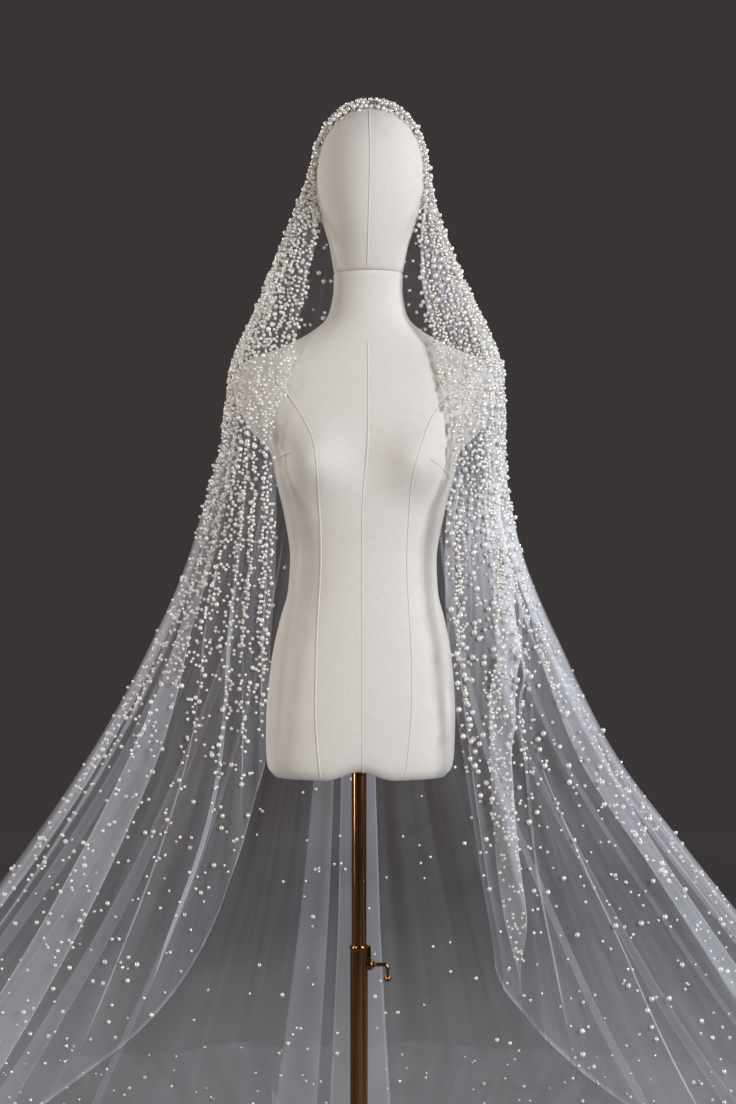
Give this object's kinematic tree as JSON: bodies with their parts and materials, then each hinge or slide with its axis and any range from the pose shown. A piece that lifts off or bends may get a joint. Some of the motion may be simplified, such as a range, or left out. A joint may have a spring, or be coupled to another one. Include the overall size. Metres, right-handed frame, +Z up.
{
  "type": "bridal veil on a limbless dress form with stand",
  "caption": "Cathedral bridal veil of soft tulle sewn with pearls, draped over the egg head of a limbless dress form on a brass pole stand.",
  "frame": {"origin": "middle of the stand base's underside, on the pole's axis", "axes": "+Z up, the form faces -Y, +X to the right of someone who looks at its front, the train lies towards +Y"},
  "size_m": [2.4946, 1.6299, 1.76],
  "materials": {
    "tulle": "sheer soft net, white",
    "pearl": "ivory pearl lustre",
    "cover": "cream plain weave stretched over the form",
    "brass": "dark antique brass, polished"
  },
  "bodies": {
    "root": {"veil": "tulle", "pearl_edging": "pearl", "form_head": "cover", "form_torso": "cover", "stand_upper_tube": "brass", "stand_lower_tube": "brass", "stand_base": "brass", "clamp_boss": "brass"},
    "clamp_screw": {"clamp_handle": "brass"}
  },
  "joints": [
    {"name": "clamp_turn", "type": "hinge", "parent": "root", "child": "clamp_screw", "pos_m": [0, 0, 0.4615], "axis": [1, 0, 0], "range_deg": [0, 270]}
  ]
}
